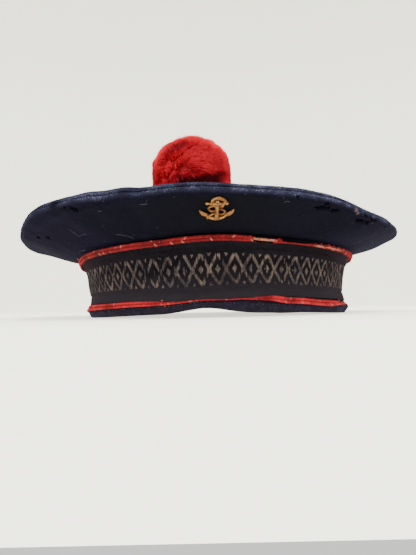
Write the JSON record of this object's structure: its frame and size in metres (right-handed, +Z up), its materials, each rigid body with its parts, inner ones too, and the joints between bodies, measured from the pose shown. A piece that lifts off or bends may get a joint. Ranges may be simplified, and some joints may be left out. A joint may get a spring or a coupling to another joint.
{
  "type": "sailor cap",
  "caption": "Round flat-crowned wool sailor cap on an upright band, with a ribbon between red braids, a brass anchor badge on the front and a red wool pompom on top.",
  "frame": {"origin": "on the table, under the middle of the cap's outline", "axes": "+Z up out of the crown, -Y out of the front, where the badge is, +X to the right of the picture"},
  "size_m": [0.25, 0.2545, 0.1281],
  "materials": {
    "navy_cloth": "napped wool cloth, worn pale along the rim",
    "leather": "thin worn leather",
    "black_ribbon": "ribbed grosgrain with a faded metal-thread pattern",
    "red_braid": "ribbed wool braid",
    "cotton_cord": "bare cotton cord",
    "red_wool": "cut wool pile",
    "brass": "cast brass, dulled in the hollows"
  },
  "bodies": {
    "root": {"crown_top": "navy_cloth", "crown_side": "navy_cloth", "band": "navy_cloth", "sweatband": "leather", "ribbon": "black_ribbon", "upper_braid": "red_braid", "lower_braid": "red_braid", "braid_core": "cotton_cord", "pompom": "red_wool", "badge": "brass", "badge_post": "brass"}
  },
  "joints": []
}
